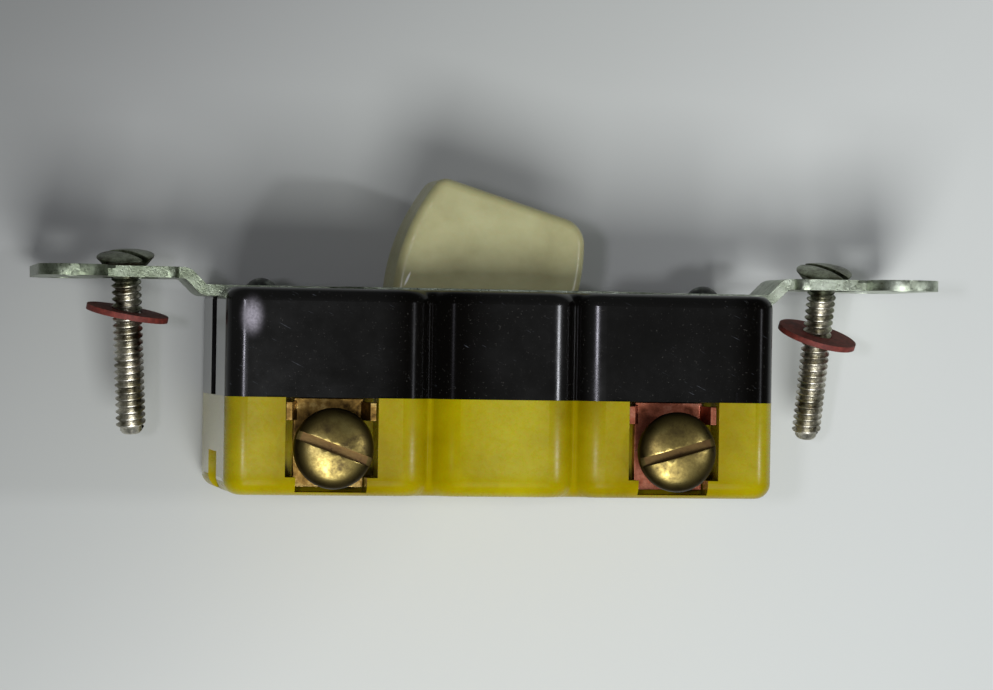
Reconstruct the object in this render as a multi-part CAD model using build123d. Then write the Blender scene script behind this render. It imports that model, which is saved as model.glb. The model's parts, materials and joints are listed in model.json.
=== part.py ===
from build123d import *

import os
from math import asin, cos, radians, sin, sqrt, tan

# Flush wall switch with a rocking handle and a knife-blade contact, in millimetres.
# The switch lies on the long side of its body: X runs along the mounting strap,
# +Y is the way the handle faces, +Z is the side with the terminal screws, up.
# The origin is the centre of the wall-plate screw pattern on the strap's front.

# Standard spacings of a one-gang wall box
box_screw_spacing = 83.3
plate_screw_spacing = 60.32

# Mounting strap
strap_length = 105.8
strap_thickness = 1.28
strap_neck_width = 9.6
strap_frame_width = 16.4
strap_frame_land = 3.6
strap_taper = 3.5
plate_tap_r = 1.42
ear_rise = 1.95
ear_bend_inside_r = 0.6
bend_beyond_body = 1.45
pad_width = 12.6
pad_inner = 5.1
pad_corner_r = 1.4
wing_length = 7.95
wing_span = 24.2
wing_corner_r = 3.5
wing_hole_r = 1.9
wing_score_depth = 0.35
slot_width = 6.6
slot_length = 8.6
slot_corner_r = 2.4

# Body: black cover in front, yellow base behind
body_length = 63.8
body_width = 28.4
body_corner_r = 2.4
cover_rim_drop = 0.3
cover_bottom = 12.7
base_bottom = 23.85
cover_edge_r = 1.5
base_edge_r = 1.8
valley_x = 8.45
valley_depth = 1.5
valley_r = 0.6
valley_lip_r = 3.8
front_wall = 3.2
base_floor = 1.55
cavity_end_wall = 8.5
cover_cavity_half_width = 9.8
base_cavity_far = 11.4
base_cavity_near = 8.8
base_middle_end_wall = 2.07
base_middle_wall = 1.45
end_groove_width = 5.0
end_groove_depth = 3.3
end_notch_width = 8.6
end_notch_height = 4.65
end_notch_depth = 1.15
lip_relief_length = 14.9
lip_relief_height = 1.25
lip_relief_depth = 0.4

# Rivets that hold strap, cover and base together
body_rivet_from_end = 5.4
body_rivet_r = 1.1
body_rivet_head_r = 1.8
body_rivet_head_height = 0.95
body_rivet_tail_r = 2.0
body_rivet_tail_height = 0.8
body_rivet_recess = 1.2

# Handle, in its own frame: pivot at the origin, top face up
handle_pivot_y = 2.5
handle_tilt = 17.3
handle_width = 9.4
handle_top = 8.4
handle_skirt = 6.2
handle_half_length = 10.85
handle_bulge = -0.9
handle_side_r = 23.5
handle_high_corner_r = 1.7
handle_low_corner_r = 3.2
handle_edge_r = 1.1
handle_boss_half = 2.6
handle_boss_depth = 3.4
handle_boss_reach = 9.8
trunnion_inner_r = 6.0
trunnion_outer_r = 8.2
trunnion_half_angle = 10.0
trunnion_width = 2.2
relief_margin = 3.0

# Spring and plunger inside the handle
plunger_r = 1.4
plunger_length = 3.0
plunger_reach = 11.8
spring_bore_top = 1.7
spring_wire_r = 0.22
spring_turns = 7
spring_end_gap = 0.1

# Rocking blade carrier
carrier_pivot_y = -14.5
carrier_tilt = 15.0
carrier_half_length = 5.0
carrier_foot = 3.4
carrier_shoulder = 2.5
carrier_horn = 4.2
carrier_depth = 4.0
carrier_pin_r = 1.2
carrier_rivet_r = 0.75
carrier_rivet_x = 3.3
carrier_rivet_y = -1.2
carrier_rivet_head_r = 1.3
carrier_rivet_head_height = 0.5
blade_in_jaw = 3.2
blade_half_width = 2.1
blade_thickness = 1.2

# Bearing posts in the base
post_thickness = 2.2
post_gap = 0.4
post_half_length = 6.8
post_top = 4.0

# Terminals
terminal_from_end = 12.03
terminal_y = -18.4
pocket_width = 10.6
pocket_height = 9.05
pocket_floor_z = 10.1
notch_width = 8.2
notch_bottom = 23.45
plate_thickness = 1.2
plate_width = 8.0
plate_length = 10.1
guard_drop = 0.4
guard_length = 2.1
guard_rise = 2.2
guard_spread = 1.15
guard_thickness = 0.7
tab_width = 6.4
tab_reach = 3.2
jaw_leaf = 0.5
jaw_leaf_length = 5.0
jaw_height = 4.8
jaw_foot_length = 6.2
jaw_half_width = 3.0
jaw_from_terminal = 4.07
jaw_below_centre = 2.3
jaw_rivet_r = 1.1
jaw_rivet_head_r = 1.8
jaw_rivet_head_height = 0.6

# Terminal screws, 10-32 binding head
terminal_screw_r = 2.4
terminal_head_r = 4.6
terminal_head_rim = 0.9
terminal_head_height = 2.1
terminal_head_stand = 3.9
terminal_shank_length = 7.9
terminal_slot_width = 1.05
terminal_slot_depth = 1.2
terminal_slot_turn = {"left": -20.0, "right": 16.0}

# Mounting screws, 6-32 oval head, hanging loose in the ears
mounting_screw_r = 1.75
mounting_screw_length = 21.0
mounting_head_r = 3.35
mounting_head_rim = 0.2
mounting_head_dome = 0.5
mounting_cone_angle = 41.0
mounting_slot_width = 0.9
mounting_slot_depth = 0.95
mounting_tip_chamfer = 0.5
left_mounting_shift = -0.65
right_mounting_shift = -0.25
left_mounting_lift = 0.2
right_mounting_lift = 0.49
mounting_lean = {"left": 13.5, "right": 18.5}
mounting_sway = {"left": 3.85, "right": -0.4}
mounting_slot_turn = {"left": -51.0, "right": -54.0}

# Red fibre washers that keep the mounting screws in the ears
washer_r = 4.8
washer_thickness = 0.65
left_washer_down = 5.5
right_washer_down = 7.0
washer_lean = {"left": 7.2, "right": 16.8}
washer_cock = {"left": -9.0, "right": -12.0}

# Clearances
running = 0.05
seat_gap = 0.1
head_gap = 0.1
strap_side_gap = 0.15
handle_gap = 0.35
trunnion_gap = 0.25
saddle_gap = 0.45
jaw_gap = 0.12
rivet_gap = 0.1
plate_slot_gap = 0.15
screw_hole_gap = 0.5

# Sizes worked out from the ones above
half_length = body_length / 2
half_width = body_width / 2
ear_x = box_screw_spacing / 2
bend_x = half_length + bend_beyond_body
body_rivet_x = half_length - body_rivet_from_end
terminal_x = half_length - terminal_from_end
half_cavity = half_length - cavity_end_wall
half_middle = terminal_x - pocket_width / 2 - base_middle_end_wall
jaw_tip_x = terminal_x - jaw_from_terminal
blade_half_length = jaw_tip_x - jaw_leaf_length + blade_in_jaw
post_inner_z = carrier_depth + blade_thickness / 2 + post_gap
post_outer_z = post_inner_z + post_thickness
cavity_floor = base_bottom - base_floor
valley_half = sqrt((valley_r + valley_lip_r) ** 2 - (valley_r + valley_lip_r - valley_depth) ** 2)
plate_face_z = pocket_floor_z + plate_thickness
wing_x = strap_length / 2 - wing_length
wing_centre_x = wing_x + wing_length / 2
wing_hole_z = wing_span / 2 - wing_length / 2
plate_top = -cover_bottom - seat_gap
sides = {"left": -1, "right": 1}
mounting_shift = {"left": left_mounting_shift, "right": right_mounting_shift}
mounting_lift = {"left": left_mounting_lift, "right": right_mounting_lift}
washer_down = {"left": left_washer_down, "right": right_washer_down}


def handle_half_at(height):
    """Half length of the handle at a height in its own frame, where its side is an arc."""
    return handle_half_length - handle_side_r + sqrt(handle_side_r ** 2 - (height - handle_bulge) ** 2)


# The handle's opening just clears the corner of its skirt when it is thrown either way
opening_x = (handle_half_at(-handle_skirt) * cos(radians(handle_tilt))
             + handle_skirt * sin(radians(handle_tilt)) + handle_gap)
opening_z = handle_width / 2 + handle_gap


def xz_slab(face, top, bottom):
    """A flat outline in X and Z, filled from Y = top down to Y = bottom."""
    return extrude(Plane.XZ.offset(-top) * face, top - bottom)


def block(x0, x1, y0, y1, z0, z1):
    return Pos((x0 + x1) / 2, (y0 + y1) / 2, (z0 + z1) / 2) * Box(x1 - x0, y1 - y0, z1 - z0)


def y_rod(radius, y0, y1, x=0.0, z=0.0):
    return Pos(x, (y0 + y1) / 2, z) * Rot(90, 0, 0) * Cylinder(radius, y1 - y0)


def z_rod(radius, z0, z1, x=0.0, y=0.0):
    return Pos(x, y, (z0 + z1) / 2) * Cylinder(radius, z1 - z0)


def edges_at(solid, axis, place, reach=0.01):
    return solid.edges().filter_by_position(axis, place - reach, place + reach)


def lobed_outline(length, width):
    """Body outline seen from the front: two soft valleys in each long side."""
    x_end, z_face, r = length / 2, width / 2, body_corner_r
    diagonal = r * (1 - 1 / sqrt(2))
    to_valley = (valley_r + valley_lip_r - valley_depth) / (valley_r + valley_lip_r)
    lip_turn = sqrt(1 - to_valley ** 2)
    half_lip = sqrt((1 - to_valley) / 2)
    half_rise = sqrt((1 + to_valley) / 2)
    edges = []
    for s in (1, -1):
        here = Vector(-x_end + r, s * z_face)
        for centre in (-valley_x, valley_x):
            for step in (-1, 1):
                lip = Vector(centre + step * valley_half, s * (z_face - valley_lip_r))
                on_face = Vector(lip.X, s * z_face)
                middle = lip + Vector(-step * half_lip, s * half_rise) * valley_lip_r
                joint = lip + Vector(-step * lip_turn, s * to_valley) * valley_lip_r
                if step < 0:
                    edges += [Line(here, on_face), ThreePointArc(on_face, middle, joint)]
                    into = joint
                else:
                    floor = Vector(centre, s * (z_face - valley_depth))
                    edges += [ThreePointArc(into, floor, joint), ThreePointArc(joint, middle, on_face)]
                    here = on_face
        corner = Vector(x_end - r, s * z_face)
        edges.append(Line(here, corner))
        for e in (1, -1):
            edges.append(ThreePointArc(
                (e * (x_end - r), s * z_face),
                (e * (x_end - diagonal), s * (z_face - diagonal)),
                (e * x_end, s * (z_face - r))))
    for e in (1, -1):
        edges.append(Line((e * x_end, z_face - r), (e * x_end, -z_face + r)))
    return make_face(edges)


def strap_plan(grow=0.0):
    """The strap's frame and necks at body level, seen from the front, grown all round."""
    neck, frame = strap_neck_width / 2 + grow, strap_frame_width / 2 + grow
    frame_x = opening_x + strap_frame_land + grow
    taper_x = frame_x + strap_taper
    corners = [(taper_x, -neck), (taper_x, neck), (frame_x, frame), (-frame_x, frame),
               (-taper_x, neck), (-taper_x, -neck), (-frame_x, -frame), (frame_x, -frame)]
    return Rectangle(2 * wing_x, 2 * neck) + Polygon(*corners, align=None)


def strap_outline():
    """The whole strap seen from the front: frame, necks, screw pads and break-off wings."""
    tip = strap_length / 2
    shape = strap_plan()
    pad_x = ear_x - pad_inner
    for s in (-1, 1):
        shape += Pos(s * (pad_x + wing_x) / 2, 0) * RectangleRounded(wing_x - pad_x, pad_width, pad_corner_r)
        shape += Pos(s * (wing_x - pad_corner_r), 0) * Rectangle(4 * pad_corner_r, pad_width)
        shape += Pos(s * wing_centre_x, 0) * RectangleRounded(wing_length, wing_span, wing_corner_r)
        shape -= Pos(s * ear_x, 0) * RectangleRounded(slot_width, slot_length, slot_corner_r)
        shape -= Pos(s * plate_screw_spacing / 2, 0) * Circle(plate_tap_r)
        shape -= Pos(s * body_rivet_x, 0) * Circle(body_rivet_r + rivet_gap)
        for z in (-wing_hole_z, wing_hole_z):
            shape -= Pos(s * wing_centre_x, z) * Circle(wing_hole_r)
    return shape - Rectangle(2 * opening_x, 2 * opening_z)


def bent_profile():
    """Edge view of the strap in X and Y: flat in the middle, a 45 degree step to each ear."""
    t, rise, tip = strap_thickness, ear_rise, strap_length / 2
    lean = t * tan(radians(22.5))
    front = [(bend_x, 0), (bend_x + rise, rise), (tip, rise)]
    back = [(tip, rise - t), (bend_x + rise + lean, rise - t), (bend_x + lean, -t)]
    right = front + back
    left = [(-x, y) for x, y in reversed(right)]
    profile = Polygon(*(left + right), align=None)
    tight = [(bend_x, 0), (bend_x + rise + lean, rise - t)]
    wide = [(bend_x + rise, rise), (bend_x + lean, -t)]
    for corners, radius in ((tight, ear_bend_inside_r), (wide, ear_bend_inside_r + t)):
        near = [v for v in profile.vertices() for x, y in corners
                if abs(abs(v.X) - x) < 0.01 and abs(v.Y - y) < 0.01]
        profile = fillet(near, radius)
    return profile


def make_strap():
    strip = extrude(bent_profile(), wing_span / 2, both=True)
    strap = strip & xz_slab(strap_outline(), ear_rise + 1, -strap_thickness - 1)
    groove = wing_score_depth * sqrt(2)
    for s in (-1, 1):
        for z in (-pad_width / 2, pad_width / 2):
            strap -= (Pos(s * wing_centre_x, ear_rise, z) * Rot(45, 0, 0)
                      * Box(wing_length + 2, groove, groove))
    return strap


def pivot_sector(inner, outer, half_angle, z0, z1):
    """Part of a ring about the handle's pivot, hanging straight down from it."""
    reach = outer * 1.5
    wedge = Polygon((0, 0), (-reach * tan(radians(half_angle)), -reach),
                    (reach * tan(radians(half_angle)), -reach), align=None)
    ring = (Circle(outer) - Circle(inner)) & wedge
    return Pos(0, handle_pivot_y, z0) * extrude(ring, z1 - z0)


def make_cover():
    cover = xz_slab(lobed_outline(body_length, body_width), -cover_rim_drop, -cover_bottom)
    cover = fillet(edges_at(cover, Axis.Y, -cover_rim_drop), cover_edge_r)
    cover -= xz_slab(strap_plan(strap_side_gap), 1, -strap_thickness)
    cover -= block(-half_cavity, half_cavity, -cover_bottom - 1, -front_wall,
                   -cover_cavity_half_width, cover_cavity_half_width)
    cover -= block(-opening_x, opening_x, -front_wall - 1, 1, -opening_z, opening_z)
    sweep = trunnion_half_angle + handle_tilt + relief_margin
    cover -= pivot_sector(trunnion_inner_r - trunnion_gap, trunnion_outer_r + 1, sweep,
                          -post_outer_z, post_outer_z)
    for s in (-1, 1):
        cover -= block(*sorted((s * (half_length - end_groove_depth), s * (half_length + 1))),
                       -cover_bottom - 1, 1, -end_groove_width / 2, end_groove_width / 2)
        cover -= y_rod(body_rivet_r + rivet_gap, -cover_bottom - 1, 1, x=s * body_rivet_x)
        lip = s * terminal_x
        cover -= block(lip - lip_relief_length / 2, lip + lip_relief_length / 2, -cover_bottom - 1,
                       -cover_bottom + lip_relief_height, half_width - lip_relief_depth, half_width + 1)
    return cover


def make_base():
    base = xz_slab(lobed_outline(body_length, body_width), -cover_bottom, -base_bottom)
    base = fillet(edges_at(base, Axis.Y, -base_bottom), base_edge_r)
    base -= block(-half_cavity, half_cavity, -cavity_floor, -cover_bottom + 1,
                  -base_cavity_far, base_cavity_near)
    middle_z = half_width - valley_depth - base_middle_wall
    base -= block(-half_middle, half_middle, -cavity_floor, -cover_bottom + 1, 0, middle_z)
    for s in (-1, 1):
        x = s * terminal_x
        base -= block(x - pocket_width / 2, x + pocket_width / 2, -cover_bottom - pocket_height,
                      -cover_bottom + 1, pocket_floor_z, half_width + 1)
        base -= block(x - notch_width / 2, x + notch_width / 2, -notch_bottom, -cover_bottom + 1,
                      pocket_floor_z, half_width + 1)
        tab_slot = tab_width / 2 + plate_slot_gap
        base -= block(x - tab_slot, x + tab_slot, plate_top - plate_thickness - plate_slot_gap,
                      -cover_bottom + 1, base_cavity_near - 1, pocket_floor_z + 1)
        base -= z_rod(terminal_screw_r + screw_hole_gap, base_cavity_near - 1, pocket_floor_z + 1,
                      x, terminal_y)
        base -= y_rod(body_rivet_r + rivet_gap, -base_bottom - 1, -cover_bottom + 1, x=s * body_rivet_x)
        base -= y_rod(body_rivet_tail_r + 3 * rivet_gap, -base_bottom - 1,
                      -base_bottom + body_rivet_recess, x=s * body_rivet_x)
        notch_x = sorted((s * (half_length - end_notch_depth), s * (half_length + 1)))
        base -= block(*notch_x, -base_bottom - 1, -base_bottom + end_notch_height,
                      -end_notch_width / 2, end_notch_width / 2)
        post_z = sorted((s * post_inner_z, s * post_outer_z))
        post = block(-post_half_length, post_half_length, -cavity_floor - base_floor / 2, -post_top, *post_z)
        post -= z_rod(trunnion_outer_r + trunnion_gap, post_z[0] - 1, post_z[1] + 1, y=handle_pivot_y)
        post -= z_rod(carrier_pin_r + running, post_z[0] - 1, post_z[1] + 1, y=carrier_pivot_y)
        base += post
    return base


def turned_profile(points):
    """Revolves a closed half profile, given as lines and arcs, about the Y axis."""
    return revolve(make_face(points), Axis.Y)


def domed_edges(radius, rim_y, dome):
    """A shallow spherical cap from the rim at rim_y up to the axis."""
    ball = (radius ** 2 + dome ** 2) / (2 * dome)
    half = asin(radius / ball) / 2
    middle = (ball * sin(half), rim_y + dome - ball + ball * cos(half))
    return ThreePointArc((radius, rim_y), middle, (0, rim_y + dome))


def rivet_along_y(shank_r, bottom, top, head_r, head_height, tail_r, tail_height):
    """A rivet with a domed head above top and a domed tail below bottom."""
    outline = [domed_edges(head_r, top, head_height),
               Polyline((head_r, top), (shank_r, top), (shank_r, bottom), (tail_r, bottom))]
    tail = mirror(domed_edges(tail_r, -bottom, tail_height), Plane.XZ)
    return turned_profile(outline + [tail, Line((0, bottom - tail_height), (0, top + head_height))])


def make_body_rivets():
    bottom = -base_bottom + body_rivet_recess
    return Compound([Pos(s * body_rivet_x, 0, 0) * rivet_along_y(
        body_rivet_r, bottom, 0, body_rivet_head_r, body_rivet_head_height,
        body_rivet_tail_r, body_rivet_tail_height) for s in (-1, 1)])


def handle_placed(shape):
    """Puts a piece drawn in the handle's own frame where the thrown handle stands."""
    return Pos(0, handle_pivot_y, 0) * Rot(0, 0, -handle_tilt) * shape


def make_handle():
    foot, top = handle_half_at(-handle_skirt), handle_half_at(handle_top)
    bulge = (handle_half_length, handle_bulge)
    profile = make_face([
        Line((-foot, -handle_skirt), (foot, -handle_skirt)),
        ThreePointArc((foot, -handle_skirt), bulge, (top, handle_top)),
        Line((top, handle_top), (-top, handle_top)),
        ThreePointArc((-top, handle_top), (-bulge[0], bulge[1]), (-foot, -handle_skirt))])
    for side, radius in ((-1, handle_high_corner_r), (1, handle_low_corner_r)):
        profile = fillet([v for v in profile.vertices() if v.Y > 0.9 * handle_top and v.X * side > 0],
                         radius)
    handle = extrude(profile, handle_width / 2, both=True)
    rounded = [e for z in (-1, 1) for e in edges_at(handle, Axis.Z, z * handle_width / 2)
               if e.center().Y > -handle_skirt + 0.1]
    handle = fillet(rounded, handle_edge_r)
    handle += block(-handle_boss_half, handle_boss_half, -handle_boss_reach, -handle_skirt + 0.5,
                    -handle_boss_depth, handle_boss_depth)
    handle -= y_rod(plunger_r + running, -handle_boss_reach - 1, -spring_bore_top)
    handle = handle_placed(handle)
    for s in (-1, 1):
        z = sorted((s * (handle_boss_depth - 0.5), s * (handle_width / 2 + trunnion_width)))
        trunnion = pivot_sector(trunnion_inner_r, trunnion_outer_r, trunnion_half_angle, *z)
        handle += Pos(0, handle_pivot_y, 0) * Rot(0, 0, -handle_tilt) * Pos(0, -handle_pivot_y, 0) * trunnion
    return handle


def make_plunger():
    shaft = y_rod(plunger_r, -plunger_reach, -plunger_reach + plunger_length)
    return handle_placed(shaft + Pos(0, -plunger_reach, 0) * Sphere(plunger_r))


def make_spring():
    bottom = -plunger_reach + plunger_length + spring_wire_r + spring_end_gap
    height = -spring_bore_top - spring_wire_r - spring_end_gap - bottom
    coil_r = plunger_r - spring_wire_r - spring_end_gap
    line = Helix(pitch=height / spring_turns, height=height, radius=coil_r)
    wire = sweep(Plane(origin=line @ 0, z_dir=line % 0) * Circle(spring_wire_r), path=line)
    return handle_placed(Pos(0, bottom, 0) * Rot(-90, 0, 0) * wire)


def carrier_placed(shape):
    """Puts a piece drawn about the carrier's pin where the carrier stands at rest."""
    return Pos(0, carrier_pivot_y, 0) * Rot(0, 0, carrier_tilt) * shape


def plunger_path_slope():
    """Where the plunger's ball runs over the carrier: its lowest place and its slope."""
    low = handle_pivot_y - plunger_reach - carrier_pivot_y
    t, c = radians(handle_tilt), radians(carrier_tilt)
    x, y = -plunger_reach * sin(t), handle_pivot_y - plunger_reach * cos(t) - carrier_pivot_y
    across, up = x * cos(c) + y * sin(c), -x * sin(c) + y * cos(c)
    return low, (up - low) / abs(across)


def make_carrier_half(side):
    low, slope = plunger_path_slope()
    saddle = low - (plunger_r + saddle_gap) * sqrt(1 + slope ** 2)
    horn_top = saddle + carrier_horn * slope
    right = [(carrier_half_length, -carrier_foot), (carrier_half_length, carrier_shoulder),
             (carrier_horn, horn_top)]
    left = [(-x, y) for x, y in reversed(right)]
    outline = Polygon(*(right + [(0, saddle)] + left), align=None)
    outline = fillet([v for v in outline.vertices() if abs(v.X) > 0.1 and v.Y < horn_top - 0.1], 0.8)
    outline -= Circle(carrier_pin_r + running)
    half = extrude(outline, carrier_depth)
    for s in (-1, 1):
        half -= z_rod(carrier_rivet_r + running, -1, carrier_depth + 1, s * carrier_rivet_x, carrier_rivet_y)
        half -= z_rod(carrier_rivet_head_r + running, carrier_depth - carrier_rivet_head_height,
                      carrier_depth + 1, s * carrier_rivet_x, carrier_rivet_y)
    half = Pos(0, 0, blade_thickness / 2) * half
    return carrier_placed(half if side > 0 else mirror(half, Plane.XY))


def make_blade():
    blade = SlotOverall(2 * blade_half_length, 2 * blade_half_width)
    blade -= Circle(carrier_pin_r + 3 * running)
    for s in (-1, 1):
        blade -= Pos(s * carrier_rivet_x, carrier_rivet_y) * Circle(carrier_rivet_r + running)
    return carrier_placed(extrude(blade, blade_thickness / 2, both=True))


def make_carrier_rivets():
    face = blade_thickness / 2 + carrier_depth
    rivet = z_rod(carrier_rivet_r, -face, face)
    rivet += z_rod(carrier_rivet_head_r, face - carrier_rivet_head_height, face)
    rivet += z_rod(carrier_rivet_head_r, -face, -face + carrier_rivet_head_height)
    return carrier_placed(Compound([Pos(s * carrier_rivet_x, carrier_rivet_y) * rivet for s in (-1, 1)]))


def make_carrier_pin():
    return z_rod(carrier_pin_r, -post_outer_z, post_outer_z, y=carrier_pivot_y)


def blade_contact_y(side):
    """Height of the blade's end on one side when the switch is on."""
    reach = jaw_tip_x - jaw_leaf_length / 2
    return carrier_pivot_y - side * reach * sin(radians(carrier_tilt))


def make_jaw(side):
    """Two spring leaves joined by a web, on a foot riveted to the terminal's tab."""
    tab_top, tab_bottom = plate_top, plate_top - plate_thickness
    middle = blade_contact_y(side)
    low, high = middle - jaw_height / 2, middle + jaw_height / 2
    web_x = jaw_tip_x + jaw_leaf
    z0 = blade_thickness / 2 + jaw_gap
    jaw = block(web_x - jaw_leaf, web_x + jaw_foot_length, *((tab_top, tab_top + jaw_leaf) if side < 0 else
                (tab_bottom - jaw_leaf, tab_bottom)), -jaw_half_width, jaw_half_width)
    for z in (z0, -z0 - jaw_leaf):
        jaw += block(jaw_tip_x - jaw_leaf_length, web_x, low, high, z, z + jaw_leaf)
    web = (tab_top, high) if side < 0 else (low, tab_bottom)
    jaw += block(jaw_tip_x, web_x, *web, -z0 - jaw_leaf, z0 + jaw_leaf)
    jaw -= y_rod(jaw_rivet_r + running, -base_bottom, 0, x=terminal_x)
    return jaw if side > 0 else mirror(jaw, Plane.YZ)


def make_jaw_rivets():
    tab_bottom = plate_top - plate_thickness
    rivets = []
    for s, bottom, top in ((-1, tab_bottom, plate_top + jaw_leaf), (1, tab_bottom - jaw_leaf, plate_top)):
        rivet = y_rod(jaw_rivet_r, bottom, top)
        rivet += y_rod(jaw_rivet_head_r, bottom - jaw_rivet_head_height, bottom)
        rivet += y_rod(jaw_rivet_head_r, top, top + jaw_rivet_head_height)
        rivets.append(Pos(s * terminal_x, 0, 0) * rivet)
    return Compound(rivets)


def make_terminal_plate(side):
    """Tapped plate in the pocket, its wire guards, and the tab that carries the jaw."""
    half = plate_width / 2
    plate = block(-half, half, plate_top - plate_length, plate_top, pocket_floor_z, plate_face_z)
    plate += block(-tab_width / 2, tab_width / 2, plate_top - plate_thickness, plate_top,
                   -tab_reach, plate_face_z)
    guard = Polygon((half - guard_thickness, pocket_floor_z), (half, pocket_floor_z),
                    (half + guard_spread, plate_face_z + guard_rise),
                    (half + guard_spread - guard_thickness, plate_face_z + guard_rise), align=None)
    guard_top = plate_top - guard_drop
    guard = extrude(Plane.XZ.offset(-guard_top) * guard, guard_length)
    plate += guard + mirror(guard, Plane.YZ)
    plate -= z_rod(terminal_screw_r + running, pocket_floor_z - 1, plate_face_z + 1, y=terminal_y)
    plate -= y_rod(jaw_rivet_r + running, plate_top - plate_thickness - 1, plate_top + 1)
    return Pos(side * terminal_x, 0, 0) * plate


def make_terminal_screw(name):
    """Binding-head screw, backed out of its plate, with its slot turned as it was left."""
    under = plate_face_z + terminal_head_stand
    rim = under + terminal_head_rim
    outline = [domed_edges(terminal_head_r, terminal_head_rim, terminal_head_height - terminal_head_rim),
               Polyline((terminal_head_r, terminal_head_rim), (terminal_head_r, 0), (terminal_screw_r, 0),
                        (terminal_screw_r, -terminal_shank_length), (0, -terminal_shank_length),
                        (0, terminal_head_height))]
    screw = turned_profile(outline)
    slot_bottom = terminal_head_height - terminal_slot_depth
    slot = block(-terminal_head_r - 1, terminal_head_r + 1, slot_bottom, terminal_head_height + 1,
                 -terminal_slot_width / 2, terminal_slot_width / 2)
    screw -= Rot(0, terminal_slot_turn[name], 0) * slot
    return Pos(sides[name] * terminal_x, terminal_y, under) * Rot(90, 0, 0) * screw


def mounting_axis(name):
    """Where a loose mounting screw hangs in its slot, and how far it leans and sways."""
    return Pos(sides[name] * ear_x + mounting_shift[name], ear_rise, 0) * Rot(
        0, 0, mounting_sway[name]) * Rot(mounting_lean[name], 0, 0)


def mounting_seat(name):
    """Height of the head's rim over the ear where its cone meets the side of the slot."""
    to_edge = slot_width / 2 - abs(mounting_shift[name]) - head_gap
    return (mounting_head_r - to_edge) / tan(radians(mounting_cone_angle)) + mounting_lift[name]


def make_mounting_screw(name):
    """Oval-head screw whose cone rests in the sides of the ear's slot."""
    cone = (mounting_head_r - mounting_screw_r) / tan(radians(mounting_cone_angle))
    tip, end_r = -mounting_screw_length, mounting_screw_r - mounting_tip_chamfer
    outline = [domed_edges(mounting_head_r, mounting_head_rim, mounting_head_dome),
               Polyline((mounting_head_r, mounting_head_rim), (mounting_head_r, 0),
                        (mounting_screw_r, -cone), (mounting_screw_r, tip + mounting_tip_chamfer),
                        (end_r, tip), (0, tip), (0, mounting_head_rim + mounting_head_dome))]
    screw = turned_profile(outline)
    top = mounting_head_rim + mounting_head_dome
    slot = block(-mounting_head_r - 1, mounting_head_r + 1, top - mounting_slot_depth, top + 1,
                 -mounting_slot_width / 2, mounting_slot_width / 2)
    screw -= Rot(0, mounting_slot_turn[name], 0) * slot
    return mounting_axis(name) * Pos(0, mounting_seat(name), 0) * screw


def make_washer(name):
    """Fibre washer cocked on its screw, with its hole along the screw."""
    axis = mounting_axis(name) * Pos(0, -washer_down[name], 0)
    centre = axis.position
    disc = Pos(*centre) * Rot(0, 0, washer_cock[name]) * Rot(washer_lean[name], 0, 0) * y_rod(
        washer_r, -washer_thickness / 2, washer_thickness / 2)
    return disc - axis * y_rod(mounting_screw_r + running, -washer_r, washer_r)


nodes = {
    "mounting_strap": make_strap(),
    "cover": make_cover(),
    "base": make_base(),
    "assembly_rivets": make_body_rivets(),
    "handle": make_handle(),
    "toggle_spring": make_spring(),
    "spring_plunger": make_plunger(),
    "carrier_front_half": make_carrier_half(1),
    "carrier_back_half": make_carrier_half(-1),
    "knife_blade": make_blade(),
    "carrier_rivets": make_carrier_rivets(),
    "carrier_pin": make_carrier_pin(),
    "jaw_rivets": make_jaw_rivets(),
}
for name, side in sides.items():
    nodes[name + "_jaw"] = make_jaw(side)
    nodes[name + "_terminal_plate"] = make_terminal_plate(side)
    nodes[name + "_terminal_screw"] = make_terminal_screw(name)
    nodes[name + "_mounting_screw"] = make_mounting_screw(name)
    nodes[name + "_fibre_washer"] = make_washer(name)

os.makedirs("parts", exist_ok=True)
for name, shape in nodes.items():
    export_step(shape, "parts/" + name + ".step")
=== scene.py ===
import json
from math import cos, pi, radians, sin

import bpy
from mathutils import Matrix, Vector


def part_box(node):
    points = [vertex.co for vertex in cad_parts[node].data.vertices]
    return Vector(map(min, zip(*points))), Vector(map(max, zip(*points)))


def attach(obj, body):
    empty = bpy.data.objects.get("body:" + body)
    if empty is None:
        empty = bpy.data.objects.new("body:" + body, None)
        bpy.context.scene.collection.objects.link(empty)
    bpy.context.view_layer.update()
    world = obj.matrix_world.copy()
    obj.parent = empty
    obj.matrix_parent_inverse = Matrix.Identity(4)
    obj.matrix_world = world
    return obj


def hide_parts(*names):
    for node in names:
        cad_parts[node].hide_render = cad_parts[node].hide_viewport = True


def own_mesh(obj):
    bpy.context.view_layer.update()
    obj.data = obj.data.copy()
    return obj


# a flush wall switch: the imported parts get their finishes, four screws and a coil spring are made
# anew, and a camera, a sheet of paper and three lamps are set round the whole
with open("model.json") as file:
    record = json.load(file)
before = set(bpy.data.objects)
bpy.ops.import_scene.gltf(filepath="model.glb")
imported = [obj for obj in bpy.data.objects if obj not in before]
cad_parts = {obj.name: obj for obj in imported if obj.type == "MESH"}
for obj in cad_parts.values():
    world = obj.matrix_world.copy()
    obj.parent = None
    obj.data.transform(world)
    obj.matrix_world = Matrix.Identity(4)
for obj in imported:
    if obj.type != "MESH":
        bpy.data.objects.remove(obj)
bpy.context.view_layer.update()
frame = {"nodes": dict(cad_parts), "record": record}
record = frame["record"]
joints = {joint["name"]: joint for joint in record["behaviour"]["joints"]}
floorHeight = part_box("cover")[0][2]
mm = 0.001
mergeGap = 1e-6    # metres, points nearer than this are one
print("frame loaded, table at", round(floorHeight / mm, 2), "mm")


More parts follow.
